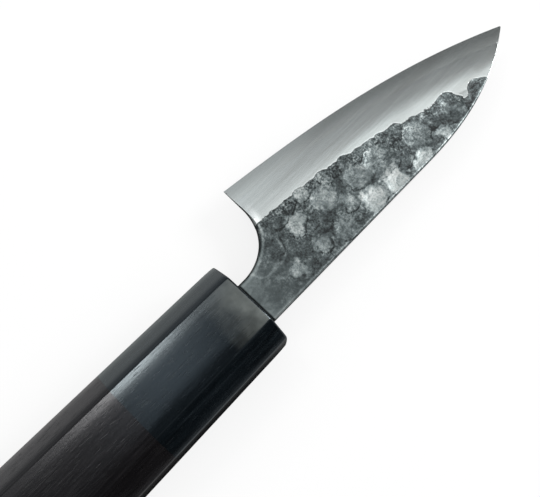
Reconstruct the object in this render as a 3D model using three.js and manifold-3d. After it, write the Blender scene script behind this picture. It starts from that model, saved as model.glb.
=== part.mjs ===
// A petty knife lying on its side: hammered three-layer blade, eight-sided handle, hidden dowel.
// Millimetres. Knife axes: +X to the tip, +Y to the cutting edge, +Z out of the blade's upper face,
// with zero on the handle's axis at the front of the ferrule.

import * as THREE from 'three';
import { mergeVertices } from 'three/addons/utils/BufferGeometryUtils.js';
import Module from 'manifold-3d';

// Blade outline
const BLADE_LENGTH = 75; // heel to tip
const SPINE_BELOW_AXIS = 5.7; // how far the straight spine lies from the handle's axis
const SPINE_STRAIGHT = 35.3; // straight stretch of the spine, measured from the heel
const SPINE_CURVE = 2.45; // exponent of the spine's sweep up to the tip
const TIP_RISE = 10.2; // the tip above the straight spine
const TIP_BLUNT = 0.3; // what is left of the height at the very tip
const NECK_HEIGHT = 10.45; // blade height where it leaves the ferrule
const NECK_FLAT = 2.8; // neck between the ferrule and the round of the choil
const CHOIL_RADIUS = 11.3; // quarter round in front of the neck
const HEEL_WALL = 5.8; // straight stretch between the choil's round and the heel's corner
const EDGE_FALL = 8.4; // steady part of the edge's fall from heel to tip
const EDGE_CURVE = 2.7; // exponent of the rest of the fall, the belly

// Blade section
const SPINE_THICKNESS = 2.4; // whole blade at the neck, the heel and the tang
const TIP_THICKNESS = 1.1; // whole blade at the tip, before the bevel
const CORE_THICKNESS = 0.7; // hard core at the heel; it thins with the blade
const EDGE_THICKNESS = 0.1; // the land of the cutting edge
const FACE_SLOPE = 0.008; // how fast a hammered face leans in towards the edge
const BEVEL_WIDTH = 10.6; // ground bevel at the heel
const BEVEL_TIP_WIDTH = 12.4; // ground bevel at the tip
const BEVEL_CONVEXITY = 0.3; // swell of the bevel: 0 is a flat grind
const LAYER_FEATHER = 0.05; // thickness of a cladding where the bevel runs out of it
const CORE_GROUND_MOST = 0.9; // most of the core's height that the bevel takes, at the tip
const EASE = 0.45; // easing along the spine, the neck and the choil
const SEAM = 0.05; // weld or glue line between two faces that lie on each other

// Hammer blows: shares of the blade's length from the heel and of the hammered band, and footprint radius
const HAMMER_CROWN = 30; // radius of the hammer's face
const BLOWS = [
  [0.042, 0.88, 2.6], [0.098, 0.96, 2.0], [0.149, 0.98, 2.2], [0.187, 0.99, 2.0], [0.228, 0.99, 2.3],
  [0.271, 1.0, 2.0], [0.307, 0.96, 2.4], [0.357, 0.98, 2.1], [0.401, 0.96, 2.6], [0.451, 0.97, 2.1],
  [0.493, 0.95, 2.4], [0.546, 0.93, 1.9], [0.602, 0.91, 1.7],
  [-0.026, 0.66, 2.9], [0.072, 0.67, 2.8], [0.13, 0.44, 2.2], [0.185, 0.69, 3.2], [0.235, 0.43, 2.5],
  [0.306, 0.69, 3.4], [0.389, 0.62, 4.4], [0.44, 0.35, 2.2], [0.524, 0.62, 3.7], [0.585, 0.68, 2.2],
  [0.664, 0.65, 3.8], [0.771, 0.54, 2.5],
  [-0.021, 0.21, 2.5], [0.081, 0.23, 2.2], [0.162, 0.17, 2.9], [0.285, 0.19, 3.3], [0.37, 0.16, 3.1],
  [0.477, 0.08, 3.2], [0.592, 0.18, 2.0], [0.695, 0.34, 2.0],
];
const BACK_SHIFT = 0.035; // the back has the same blows, this much further along and in flipped rows

// Tang
const TANG_LENGTH = 62; // from the ferrule's front to the tang's end
const TANG_ROOT_HEIGHT = 8; // where the tang enters the dowel
const TANG_END_HEIGHT = 4.5;

// Handle
const HANDLE_LENGTH = 112; // ferrule and body together
const FRONT_HEIGHT = 21.3; // along Y at the ferrule's front
const FRONT_WIDTH = 17.4; // along Z at the ferrule's front
const BUTT_HEIGHT = 24.8;
const BUTT_WIDTH = 19.9;
const CUT_HEIGHT = 4.65; // corner cut of the octagon along Y, at the front
const CUT_WIDTH = 3.95; // corner cut of the octagon along Z, at the front
const FERRULE_LENGTH = 31;
const FERRULE_WEB = 12.5; // solid front of the ferrule, ahead of the dowel's seat
const FERRULE_CHAMFER = 0.4;
const BUTT_CHAMFER = 1.2;

// Dowel and seal
const DOWEL_WALL = 1; // dowel beyond the tang's root on either side
const DOWEL_TAIL = 8; // solid end of the dowel behind the slot
const SEAL_WALL = 0.6;
const SEAL_DEPTH = 3;
const SEAL_RECESS = 0.2; // the filler has sunk this far below the ferrule's face
const FIT = 0.3; // clearance of the tang, dowel and seal in their seats

// How finely the curved forms are divided
const BLADE_STEPS = 70;
const BLADE_ROWS = 23;
const CHOIL_STEPS = 9;
const ROUND_SIDES = 32;
const CUT_PAST = 1; // how far a cutting tool runs past the face that it cuts

const { clamp, lerp } = THREE.MathUtils;
const wasm = await Module();
wasm.setup();

// Places that follow from the sizes
const heelX = NECK_FLAT + CHOIL_RADIUS;
const spineY = -SPINE_BELOW_AXIS;
const neckTopY = spineY + NECK_HEIGHT;
const choilTopY = neckTopY + CHOIL_RADIUS;
const heelY = choilTopY + HEEL_WALL;
const tipX = heelX + BLADE_LENGTH;
const tipY = spineY + TIP_RISE + TIP_BLUNT;
const dowelRadius = TANG_ROOT_HEIGHT / 2 + DOWEL_WALL;
const slotEnd = TANG_LENGTH + FIT;
const dowelEnd = slotEnd + DOWEL_TAIL;
const slotWidth = SPINE_THICKNESS + 2 * FIT;

// Blade forms
const alongBlade = (x) => clamp((x - heelX) / BLADE_LENGTH, 0, 1);
const thicknessAt = (x) => lerp(SPINE_THICKNESS, TIP_THICKNESS, alongBlade(x));
const coreHalfAt = (x) => (CORE_THICKNESS / 2) * (thicknessAt(x) / SPINE_THICKNESS);
const bevelWidthAt = (x) => lerp(BEVEL_WIDTH, BEVEL_TIP_WIDTH, alongBlade(x));

function spineAt(x) {
  const swept = Math.max(0, x - heelX - SPINE_STRAIGHT) / (BLADE_LENGTH - SPINE_STRAIGHT);
  return spineY + TIP_RISE * swept ** SPINE_CURVE;
}

function edgeAt(x) {
  const along = alongBlade(x);
  const belly = heelY - tipY - EDGE_FALL;
  return heelY - EDGE_FALL * along - belly * along ** EDGE_CURVE;
}

// Half thickness of the forged face before any hammering
const faceAt = (x, y) => thicknessAt(x) / 2 - FACE_SLOPE * Math.max(0, y - spineAt(x));

function bevelRiseAt(x) {
  return faceAt(x, edgeAt(x) - bevelWidthAt(x)) - EDGE_THICKNESS / 2;
}

// Half thickness that the grindstone leaves, a swelling bevel up from the edge
function bevelAt(x, y) {
  const up = (edgeAt(x) - y) / bevelWidthAt(x);
  const swell = up < 1 ? up * (1 + BEVEL_CONVEXITY * (1 - up)) : up;
  return EDGE_THICKNESS / 2 + bevelRiseAt(x) * swell;
}

// Distance from the edge at which the bevel has the given half thickness
function bevelDistance(x, half) {
  const share = (half - EDGE_THICKNESS / 2) / bevelRiseAt(x);
  const steep = 1 + BEVEL_CONVEXITY;
  const root = Math.sqrt(steep ** 2 - 4 * BEVEL_CONVEXITY * share);
  return (bevelWidthAt(x) * (steep - root)) / (2 * BEVEL_CONVEXITY);
}

function placeBlow([along, across, radius]) {
  const x = heelX + along * BLADE_LENGTH;
  const bandTop = edgeAt(x) - bevelWidthAt(x);
  return { x, y: lerp(spineAt(x), bandTop, across), radius };
}

// Forged face with each blow's shallow bowl sunk into it
function hammeredAt(x, y, blows) {
  let sunk = 0;
  for (const blow of blows) {
    const apart = (x - blow.x) ** 2 + (y - blow.y) ** 2;
    const depth = (blow.radius ** 2 - apart) / (2 * HAMMER_CROWN);
    sunk = Math.max(sunk, depth);
  }
  return faceAt(x, y) - sunk;
}

// Lines across the blade, each from the spine's side to the far side, from the tang's end to the tip.
// farAt gives the far side's height past the heel, and lastX the last line's place.
function crossLines(farAt, lastX) {
  const neckLine = (x) => ({ near: [x, spineY], far: [x, neckTopY], eased: true });
  const tangLine = (x, height) => ({ near: [x, -height / 2], far: [x, height / 2], eased: true });
  const lines = [
    tangLine(-TANG_LENGTH, TANG_END_HEIGHT),
    tangLine(-FERRULE_WEB, TANG_ROOT_HEIGHT),
    neckLine(-SEAL_DEPTH),
    neckLine(0),
  ];
  for (let step = 0; step <= CHOIL_STEPS; step += 1) {
    const turn = ((step / CHOIL_STEPS) * Math.PI) / 2;
    const x = NECK_FLAT + CHOIL_RADIUS * Math.sin(turn);
    const y = choilTopY - CHOIL_RADIUS * Math.cos(turn);
    lines.push({ near: [x, spineY], far: [x, y], eased: true });
  }
  const pitch = (lastX - heelX) / BLADE_STEPS;
  lines.push({ near: [heelX + pitch / 2, spineY], far: [heelX, farAt(heelX)], eased: false });
  for (let step = 1; step <= BLADE_STEPS; step += 1) {
    const x = heelX + pitch * step;
    lines.push({ near: [x, spineAt(x)], far: [x, farAt(x)], eased: false });
  }
  return lines;
}

// Points along a line at the given distances from its near end
function pointsOn(line, distances) {
  const [nearX, nearY] = line.near;
  const [farX, farY] = line.far;
  const length = Math.hypot(farX - nearX, farY - nearY);
  return distances(length, line).map((distance) => {
    const part = distance / length;
    const x = lerp(nearX, farX, part);
    const y = lerp(nearY, farY, part);
    return { x, y, fromNear: distance, toFar: length - distance };
  });
}

// Triangles between two rows of vertex numbers that run side by side
function stitch(rowA, rowB, triangles) {
  let a = 0;
  let b = 0;
  while (a < rowA.length - 1 || b < rowB.length - 1) {
    const nextA = (a + 1) / (rowA.length - 1);
    const nextB = (b + 1) / (rowB.length - 1);
    if (b === rowB.length - 1 || (a < rowA.length - 1 && nextA <= nextB)) {
      triangles.push(rowA[a], rowA[a + 1], rowB[b]);
      a += 1;
    } else {
      triangles.push(rowA[a], rowB[b + 1], rowB[b]);
      b += 1;
    }
  }
}

// Closed layer between an upper and a lower sheet of points, both with one row of points per cross line
function layerGeometry(upper, lower) {
  const positions = [];
  const triangles = [];
  const number = (sheet) => sheet.map((row) => row.map((point) => positions.push(...point) / 3 - 1));
  const top = number(upper);
  const under = number(lower);
  const last = top.length - 1;
  for (let i = 0; i < last; i += 1) {
    stitch(top[i + 1], top[i], triangles);
    stitch(under[i], under[i + 1], triangles);
  }
  const side = (sheet, pick) => sheet.map((row) => row.at(pick));
  stitch(side(under, 0), side(top, 0), triangles);
  stitch(side(top, -1), side(under, -1), triangles);
  stitch(top[0], under[0], triangles);
  stitch(under[last], top[last], triangles);
  const geometry = new THREE.BufferGeometry();
  geometry.setAttribute('position', new THREE.Float32BufferAttribute(positions, 3));
  geometry.setIndex(triangles);
  return geometry;
}

// The hard core: flat between the claddings, ground down to the edge in front of them
function coreGeometry() {
  const distances = (length, line) => {
    const ground = line.eased ? length / 2 : bevelDistance(line.far[0], coreHalfAt(line.far[0]));
    const start = length - Math.min(ground, length * CORE_GROUND_MOST);
    return [0, start, (start + length) / 2, length];
  };
  const half = (point) => Math.min(coreHalfAt(point.x), bevelAt(point.x, point.y));
  const rows = crossLines(edgeAt, tipX).map((line) => pointsOn(line, distances));
  const sheet = (sign) => rows.map((row) => row.map((point) => [point.x, point.y, sign * half(point)]));
  return layerGeometry(sheet(1), sheet(-1));
}

// Where the bevel runs out of a cladding, and the last place where there is any left below the tip
const claddingHalfAt = (x) => coreHalfAt(x) + SEAM + LAYER_FEATHER;
const claddingFarAt = (x) => edgeAt(x) - bevelDistance(x, claddingHalfAt(x));

function claddingEnd() {
  let low = heelX;
  let high = tipX;
  while (high - low > SEAM) {
    const middle = (low + high) / 2;
    if (claddingFarAt(middle) - spineAt(middle) > TIP_BLUNT) low = middle;
    else high = middle;
  }
  return low;
}

// A soft cladding: hammered outside above the bevel, flat against the core inside. side is 1 or -1.
function claddingGeometry(blows, side) {
  const distances = (length) => {
    const ease = Math.min(EASE, length / 4);
    const rows = [...Array(BLADE_ROWS).keys()];
    const inner = rows.map((row) => lerp(ease, length - ease, row / (BLADE_ROWS - 1)));
    return [0, ...inner, length];
  };
  const outside = (point, line) => {
    const fromOutline = line.eased ? Math.min(point.fromNear, point.toFar) : point.fromNear;
    const eased = Math.max(0, EASE - fromOutline);
    const face = Math.min(hammeredAt(point.x, point.y, blows), bevelAt(point.x, point.y));
    return Math.max(face - eased, claddingHalfAt(point.x));
  };
  const inside = (point) => coreHalfAt(point.x) + SEAM;
  const lines = crossLines(claddingFarAt, claddingEnd());
  const outer = lines.map((line) =>
    pointsOn(line, distances).map((point) => [point.x, point.y, side * outside(point, line)]));
  const inner = lines.map((line) =>
    pointsOn(line, (length) => [0, length]).map((point) => [point.x, point.y, side * inside(point)]));
  return side > 0 ? layerGeometry(outer, inner) : layerGeometry(inner, outer);
}

// Corners of the handle's octagon at a place behind the ferrule's front, drawn in by the given inset
function octagonAt(behind, inset) {
  const along = behind / HANDLE_LENGTH;
  const halfY = lerp(FRONT_HEIGHT, BUTT_HEIGHT, along) / 2;
  const halfZ = lerp(FRONT_WIDTH, BUTT_WIDTH, along) / 2;
  const flatY = halfY * (1 - (2 * CUT_HEIGHT) / FRONT_HEIGHT);
  const flatZ = halfZ * (1 - (2 * CUT_WIDTH) / FRONT_WIDTH);
  const upperHalf = [[halfY, flatZ], [flatY, halfZ], [-flatY, halfZ], [-halfY, flatZ]];
  const corners = [...upperHalf, ...upperHalf.map(([y, z]) => [-y, -z])];
  return corners.map(([y, z]) => [-behind, y * (1 - inset / halfY), z * (1 - inset / halfZ)]);
}

// Solid through a run of octagons, from the front one to the rear one
function octagonGeometry(rings) {
  const positions = rings.flat(2);
  const triangles = [];
  const sides = rings[0].length;
  for (let ring = 0; ring < rings.length - 1; ring += 1) {
    for (let corner = 0; corner < sides; corner += 1) {
      const a = ring * sides + corner;
      const b = ring * sides + ((corner + 1) % sides);
      triangles.push(a, a + sides, b, b, a + sides, b + sides);
    }
  }
  const rear = (rings.length - 1) * sides;
  for (let corner = 1; corner < sides - 1; corner += 1) {
    triangles.push(0, corner, corner + 1);
    triangles.push(rear, rear + corner + 1, rear + corner);
  }
  const geometry = new THREE.BufferGeometry();
  geometry.setAttribute('position', new THREE.Float32BufferAttribute(positions, 3));
  geometry.setIndex(triangles);
  return geometry;
}

// Solids and back, for cutting
function toSolid(geometry) {
  const bare = geometry.clone();
  bare.deleteAttribute('normal');
  bare.deleteAttribute('uv');
  const merged = mergeVertices(bare);
  const vertProperties = new Float32Array(merged.attributes.position.array);
  const triVerts = new Uint32Array(merged.index.array);
  return new wasm.Manifold(new wasm.Mesh({ numProp: 3, vertProperties, triVerts }));
}

function toGeometry(solid) {
  const mesh = solid.getMesh();
  const geometry = new THREE.BufferGeometry();
  geometry.setAttribute('position', new THREE.BufferAttribute(mesh.vertProperties, 3));
  geometry.setIndex(new THREE.BufferAttribute(mesh.triVerts, 1));
  return geometry;
}

const cutFrom = (body, ...tools) =>
  toGeometry(tools.reduce((solid, tool) => solid.subtract(toSolid(tool)), toSolid(body)));

// Round bar along the handle's axis between two places behind the ferrule's front
function barGeometry(radius, from, to) {
  const bar = new THREE.CylinderGeometry(radius, radius, to - from, ROUND_SIDES);
  return bar.rotateZ(Math.PI / 2).translate(-(from + to) / 2, 0, 0);
}

// Plate of the given outline, lying in the blade's plane and centred on it
function plateGeometry(outline, thickness) {
  const shape = new THREE.Shape(outline.map(([x, y]) => new THREE.Vector2(x, y)));
  const plate = new THREE.ExtrudeGeometry(shape, { depth: thickness, bevelEnabled: false });
  return plate.translate(0, 0, -thickness / 2);
}

// Block round the blade's neck, with the given room on every side of it
function neckBlock(room, front, rear) {
  const outline = [
    [-rear, spineY - room], [-front, spineY - room], [-front, neckTopY + room], [-rear, neckTopY + room],
  ];
  return plateGeometry(outline, SPINE_THICKNESS + 2 * room);
}

// Room that the tang needs in the ferrule, from outside its face back into the dowel's seat
function tangSlot() {
  const behind = FERRULE_WEB + CUT_PAST;
  const root = TANG_ROOT_HEIGHT / 2 + FIT;
  const outline = [
    [-behind, -root], [-FERRULE_WEB, -root], [-SEAL_DEPTH, spineY - FIT], [CUT_PAST, spineY - FIT],
    [CUT_PAST, neckTopY + FIT], [-SEAL_DEPTH, neckTopY + FIT], [-FERRULE_WEB, root], [-behind, root],
  ];
  return plateGeometry(outline, slotWidth);
}

function ferruleGeometry() {
  const body = octagonGeometry([
    octagonAt(0, FERRULE_CHAMFER),
    octagonAt(FERRULE_CHAMFER, 0),
    octagonAt(FERRULE_LENGTH, 0),
  ]);
  const mouth = neckBlock(2 * FIT + SEAL_WALL, -CUT_PAST, SEAL_DEPTH);
  const seat = barGeometry(dowelRadius + FIT, FERRULE_WEB, FERRULE_LENGTH + CUT_PAST);
  return cutFrom(body, tangSlot(), mouth, seat);
}

function handleGeometry() {
  const front = FERRULE_LENGTH + SEAM;
  const body = octagonGeometry([
    octagonAt(front, 0),
    octagonAt(HANDLE_LENGTH - BUTT_CHAMFER, 0),
    octagonAt(HANDLE_LENGTH, BUTT_CHAMFER),
  ]);
  return cutFrom(body, barGeometry(dowelRadius + FIT, front - CUT_PAST, dowelEnd + FIT));
}

function dowelGeometry() {
  const front = FERRULE_WEB + FIT;
  const across = dowelRadius + CUT_PAST;
  const slot = [
    [-slotEnd, -across], [-front + CUT_PAST, -across], [-front + CUT_PAST, across], [-slotEnd, across],
  ];
  return cutFrom(barGeometry(dowelRadius, front, dowelEnd), plateGeometry(slot, slotWidth));
}

function sealGeometry() {
  const ring = neckBlock(FIT + SEAL_WALL, SEAL_RECESS, SEAL_DEPTH - FIT);
  return cutFrom(ring, neckBlock(FIT, SEAL_RECESS - CUT_PAST, SEAL_DEPTH - FIT + CUT_PAST));
}

// Assembly
const faceBlows = BLOWS.map(placeBlow);
const backBlows = BLOWS.map(([along, across, radius]) => placeBlow([along + BACK_SHIFT, 1 - across, radius]));

const knife = new THREE.Group();

function addPiece(name, geometry, finish) {
  const piece = new THREE.Mesh(geometry, new THREE.MeshStandardMaterial(finish));
  piece.name = name;
  knife.add(piece);
}

const forgedIron = { color: 0x5a6062, roughness: 0.55, metalness: 0.85 };
addPiece('core_steel', coreGeometry(), { color: 0x9a9da0, roughness: 0.3, metalness: 1 });
addPiece('face_cladding', claddingGeometry(faceBlows, 1), forgedIron);
addPiece('back_cladding', claddingGeometry(backBlows, -1), forgedIron);
addPiece('ferrule', ferruleGeometry(), { color: 0x1c2126, roughness: 0.4, metalness: 0 });
addPiece('handle', handleGeometry(), { color: 0x2a2422, roughness: 0.55, metalness: 0 });
addPiece('dowel', dowelGeometry(), { color: 0xb08d5f, roughness: 0.8, metalness: 0 });
addPiece('tang_seal', sealGeometry(), { color: 0x15130f, roughness: 0.7, metalness: 0 });

// Laid on the handle's lower side, which swells towards the butt, so the whole knife turns a little
// to lie flat. The origin is the middle of the wooden body's lower flat.
const sideSlope = (BUTT_WIDTH - FRONT_WIDTH) / (2 * HANDLE_LENGTH);
const restX = -(FERRULE_LENGTH + HANDLE_LENGTH - BUTT_CHAMFER) / 2;
const restPoint = new THREE.Vector3(restX, 0, -FRONT_WIDTH / 2 + sideSlope * restX);
knife.rotation.y = Math.atan(sideSlope);
knife.position.copy(restPoint.applyEuler(knife.rotation).negate());

const petty = new THREE.Group();
petty.add(knife);

export default petty;
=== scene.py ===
"""Looks of a petty knife that lies on its side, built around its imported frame.

The blade's three layers, the ferrule, the handle and the filler get fine meshes in the place of their
solids. Sizes are in millimetres on the knife's own axes, as in the part's source: +X to the tip, +Y to
the cutting edge, +Z out of the upper face, zero on the handle's axis at the ferrule's front. to_row()
takes them to the frame.
"""
import math

import bpy
import numpy as np
from mathutils import Matrix, Vector


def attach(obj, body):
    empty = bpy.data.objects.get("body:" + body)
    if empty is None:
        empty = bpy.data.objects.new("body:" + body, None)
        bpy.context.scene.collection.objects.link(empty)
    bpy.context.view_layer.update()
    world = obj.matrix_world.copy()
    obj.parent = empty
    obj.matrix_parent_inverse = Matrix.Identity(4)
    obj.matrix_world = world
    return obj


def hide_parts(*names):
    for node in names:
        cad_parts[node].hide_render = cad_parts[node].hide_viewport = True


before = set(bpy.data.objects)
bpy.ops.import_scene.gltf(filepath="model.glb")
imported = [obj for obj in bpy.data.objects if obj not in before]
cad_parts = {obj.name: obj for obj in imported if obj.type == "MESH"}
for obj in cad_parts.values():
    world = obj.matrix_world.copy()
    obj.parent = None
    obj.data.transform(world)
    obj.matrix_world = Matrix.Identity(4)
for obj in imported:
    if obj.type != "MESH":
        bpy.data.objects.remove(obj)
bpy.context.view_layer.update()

MM = 0.001  # a millimetre in metres

# Blade sizes, as in the part's source, which says what each one is
BLADE_LENGTH = 75.0
SPINE_BELOW_AXIS = 5.7  # how far the straight spine lies from the handle's axis
SPINE_STRAIGHT = 35.3
SPINE_CURVE = 2.45  # exponent of the spine's sweep up to the tip
TIP_RISE = 10.2
TIP_BLUNT = 0.3  # what is left of the height at the very tip
NECK_HEIGHT = 10.45
NECK_FLAT = 2.8
CHOIL_RADIUS = 11.3
HEEL_WALL = 5.8
EDGE_FALL = 8.4  # steady part of the edge's fall from heel to tip
EDGE_CURVE = 2.7  # exponent of the rest of the fall, the belly
SPINE_THICKNESS = 2.4
TIP_THICKNESS = 1.1
CORE_THICKNESS = 0.7  # hard core at the heel; it thins with the blade
EDGE_THICKNESS = 0.1  # the land of the cutting edge
FACE_SLOPE = 0.008  # how fast a hammered face leans in towards the edge
BEVEL_WIDTH = 10.6
BEVEL_TIP_WIDTH = 12.4
BEVEL_CONVEXITY = 0.3  # swell of the bevel: 0 is a flat grind
LAYER_FEATHER = 0.05  # thickness of a cladding where the bevel runs out of it
CORE_GROUND_MOST = 0.9  # most of the core's height that the bevel takes, at the tip
EASE = 0.45  # rounding along the spine, the neck and the choil
SEAM = 0.05  # weld line between two layers
TANG_LENGTH = 62.0
TANG_ROOT_HEIGHT = 8.0
TANG_END_HEIGHT = 4.5

# Dressing of the blade's outline
TIP_EASE = 0.09  # rounding of the spine near the tip
TIP_EASE_SPAN = (0.74, 0.84)  # shares of the blade's length between which the rounding gets finer
EASE_MOST = 0.25  # most of a cross line that is kept for the rounding at each end
GROUND_CRISP = 0.05  # the choil's rounding fades over this depth where the bevel cuts into the scale

# Hammer blows: shares of the blade's length from the heel and of the hammered band, footprint radius,
# and tone from dark to pale, which is worn scale and partly painted light pooled in the bowls
HAMMER_CROWN = 30.0  # radius of the hammer's face
BLOWS = [
    (0.042, 0.88, 2.6, 0.27), (0.098, 0.96, 2.0, 0.22), (0.149, 0.98, 2.2, 0.70), (0.187, 0.99, 2.0, 0.25),
    (0.228, 0.99, 2.3, 0.52), (0.271, 1.0, 2.0, 0.20), (0.307, 0.96, 2.4, 0.28), (0.357, 0.98, 2.1, 0.36),
    (0.401, 0.96, 2.6, 0.38), (0.451, 0.97, 2.1, 0.35), (0.493, 0.95, 2.4, 0.38), (0.546, 0.85, 1.9, 0.30),
    (-0.026, 0.66, 2.9, 0.22), (0.072, 0.67, 2.8, 0.70), (0.13, 0.44, 2.2, 0.22), (0.185, 0.69, 3.2, 0.62),
    (0.235, 0.43, 2.5, 0.52), (0.306, 0.69, 3.4, 0.54), (0.389, 0.62, 4.4, 0.39), (0.44, 0.35, 2.2, 0.22),
    (0.524, 0.62, 3.7, 0.44), (0.585, 0.68, 2.2, 0.25), (0.668, 0.68, 4.1, 0.27), (0.782, 0.5, 3.1, 0.2),
    (-0.021, 0.21, 2.5, 0.56), (0.081, 0.23, 2.2, 0.55), (0.162, 0.17, 2.9, 0.46), (0.285, 0.19, 3.3, 0.84),
    (0.37, 0.16, 3.1, 0.86), (0.477, 0.08, 3.0, 0.74), (0.592, 0.18, 2.0, 0.52), (0.695, 0.34, 2.0, 0.40),
]
BACK_SHIFT = 0.035  # the back has the same blows, this much further along and in flipped rows
PROUD_SPOT = (0.722, 0.85, 2.2)  # swelling near the tip that the bevel cuts into: two shares and a radius
PROUD_HEIGHT = 0.12
RIM_BLEND = 0.018  # depth over which neighbouring bowls run into each other
CREASE_DEPTH = 0.018  # how fast a crease fades as the depths of its two bowls part
BETWEEN_TONE = 0.22  # tone of the face between the blows
TONE_SPREAD = 1.12  # how far a blow's tone reaches, in radii
TONE_FALL = 2.1  # how sharply that tone ends

# Random fields over the blade: how far a thing strays, over which pitch, and the seed of its field
WANDER_WAVES = 7  # waves that are summed
WANDER_LENGTHS = (0.6, 1.6)  # shortest and longest wave, in pitches
BLOW_WANDER = 0.3  # outline of a bowl
BLOW_WANDER_PITCH = 5.0
BLOW_WANDER_SEEDS = (1, 2)
SCALE_RELIEF = 0.012  # surface of the forge scale
SCALE_PITCH = 1.3
SCALE_SEED = 3
RAGGED = 0.3  # border of a blow's tone, beyond what the bowl strays
RAGGED_PITCH = 1.6
RAGGED_SEEDS = (4, 5)

# Painted shade, a painted highlight and worn places of the blade. A rim is given by its distance from the
# outline and its breadth.
CHOIL_SHADE_AT = (4.75, 9.5, 14.8)  # places along Y, from the neck to the heel
CHOIL_SHADE_BREADTH = (0.65, 0.95, 0.02)  # breadth of the dark outline at each of them
NECK_PAINTED_SHADE = 1.75  # painted shadow of the ferrule: the neck is black as far as this in front of the ferrule
NECK_PAINTED_SHADE_FADE = 0.25
SPINE_WEAR = (0.2, 0.35)
CHOIL_WEAR = (0.85, 0.35)
NECK_WEAR = 0.45  # what is left of the choil's worn rim at the ferrule
HEEL_HIGHLIGHT_RIM = (0.95, 0.75)  # rim of the bevel along the choil and the heel, with a painted highlight
WEAR_TONE = 0.56  # tone of a worn rim
WALL_TONE = 0.62  # tone of a cladding's inner side, which its walls run to
DARK_HEEL = 45.0  # the upper bevel is painted darker, as shade, up to this far from the heel
NECK_DENT = (9.4, 5.9)  # middle of the dent near the neck
NECK_DENT_RADIUS = 4.8
NECK_RIM_BREADTH = 0.3
NECK_RIM_TONE = 0.2  # how much paler the dent's rim is

# Handle sizes, as in the part's source
HANDLE_LENGTH = 112.0
FRONT_HEIGHT = 21.3
FRONT_WIDTH = 17.4
BUTT_HEIGHT = 24.8
BUTT_WIDTH = 19.9
CUT_HEIGHT = 4.65
CUT_WIDTH = 3.95
FERRULE_LENGTH = 31.0
FERRULE_WEB = 12.5
FERRULE_CHAMFER = 0.4
BUTT_CHAMFER = 1.2
DOWEL_WALL = 1.0
DOWEL_TAIL = 8.0
SEAL_WALL = 0.6
SEAL_DEPTH = 3.0
SEAL_RECESS = 0.2  # the filler has sunk this far below the ferrule's face
FIT = 0.3  # clearance of the tang, dowel and seal in their seats
CUT_PAST = 1.0  # how far a cutting tool runs past the face that it cuts

# Dressing of the handle: sanded facets fall off a little to their rounded corners and the ferrule's nose
FACET_SWELL = 0.2  # most that a facet swells
SWELL_SHARE = 0.017  # swell of a narrow facet, as a share of its breadth
SWELL_POWER = 4
NOSE_LENGTH = 4.0
NOSE_SAG = 0.12
CORNER_ROUND = 0.38
JOINT_GAP = 0.01  # between ferrule and body
FILLER_GAP = 0.03  # between the filler and what it fills
NOSE_SHEEN = (-7.0, 2.5)  # places along X between which a sheen is painted on the nose
NOSE_SHEEN_STRAY = 5.0  # how far that border wanders
NOSE_SHEEN_POWER = 1.4

# Fineness of the meshes
BLADE_PITCH = 0.26  # between cross lines, and between points on the longest of them
LAYER_GAP = 0.008  # between the border of a cladding and the bare core
END_TOLERANCE = 0.05  # how closely the end of a cladding is found
EASE_STEPS = 4
CORE_GROUND_ROWS = 14
ROUND_STEPS = 4
ROUND_SIDES = 48
FACET_STEPS = 16
RING_PITCH = 1.0  # between the sections of the handle
END_REACH = 1.5  # first plain section inside a rounded end, in roundings
SMOOTH_ANGLE = math.radians(35)  # corners above this angle stay sharp
CUT_SMOOTH_ANGLE = math.radians(25)  # the same on a piece that was cut

# Camera: where it stands, what it looks at and which way is up in the picture, all on the knife's axes
CAMERA_AT = (-21.28, -23.04, 141.29)
CAMERA_AIM = (11.84, 5.74, 0.0)
CAMERA_UP = (0.6866, 0.6640, 0.2962)
CAMERA_LENS = 46.67
SENSOR_WIDTH = 36.0
CAMERA_CLIP = 0.01  # metres

# Lamps that hang at one height and shine straight down: name, place on the knife's axes, way that the
# depth runs, breadth and depth in metres, watts, colour
LAMP_HEIGHT = 330.0
HANDLE_WAY = (0.0, 1.0, 0.0)
BLADE_WAY = (0.324, 0.946, 0.0)
WHITE = (1.0, 1.0, 1.0)
LAMPS = [
    ("over_handle", (-30.0, 184.0), HANDLE_WAY, (0.06, 0.10), 0.477, (1.0, 0.983, 0.948)),
    ("window", (-12.0, 65.0), HANDLE_WAY, (0.07, 0.08), 0.024, (0.76, 0.88, 1.0)),
    ("over_blade", (213.5, 91.5), BLADE_WAY, (0.29, 0.06), 0.082, WHITE),
    ("panel", (230.0, 140.0), BLADE_WAY, (0.29, 0.04), 0.006, WHITE),
    ("heel", (142.0, 194.0), BLADE_WAY, (0.10, 0.045), 0.0042, WHITE),
]

# Fill lamp, beyond the tip and on the spine's side
FILL_AT = (520.0, -180.0, 480.0)
FILL_AIM = (10.0, 0.0, 0.0)
FILL_WAY = (0.0, 0.0, 1.0)
FILL_SIZE = (0.3, 0.3)
FILL_POWER = 7.0

# Floor, with lengths in metres
FLOOR_REACH = 3.0
FLOOR_ROUGH = 0.9
FLOOR_WHITENESS = 0.92  # how much of it the camera sees as plain white
SHADE_REACH = 0.02  # how far from the knife the floor gets darker
SHADE_SAMPLES = 16
SHADE_LEAST = 0.06  # openness that counts where the floor is closed in all round
SHADE_SEEN = 0.1  # exponent of the shade that the camera sees
SHADE_MIRRORED = 8.0  # exponent of the shade that the polished steel mirrors

# Surroundings: brightness by height and by reach towards the tip, both from 0 to 1
SKY_BY_HEIGHT = [(0.0, 0.95), (0.15, 0.5), (0.6, 0.4), (0.8, 0.7)]
SKY_BY_REACH = [(0.2, 1.0), (0.33, 0.6), (0.4, 0.48), (0.55, 0.34)]
SKY_BEHIND = 0.3  # brightness high up on the spine's side

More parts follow.
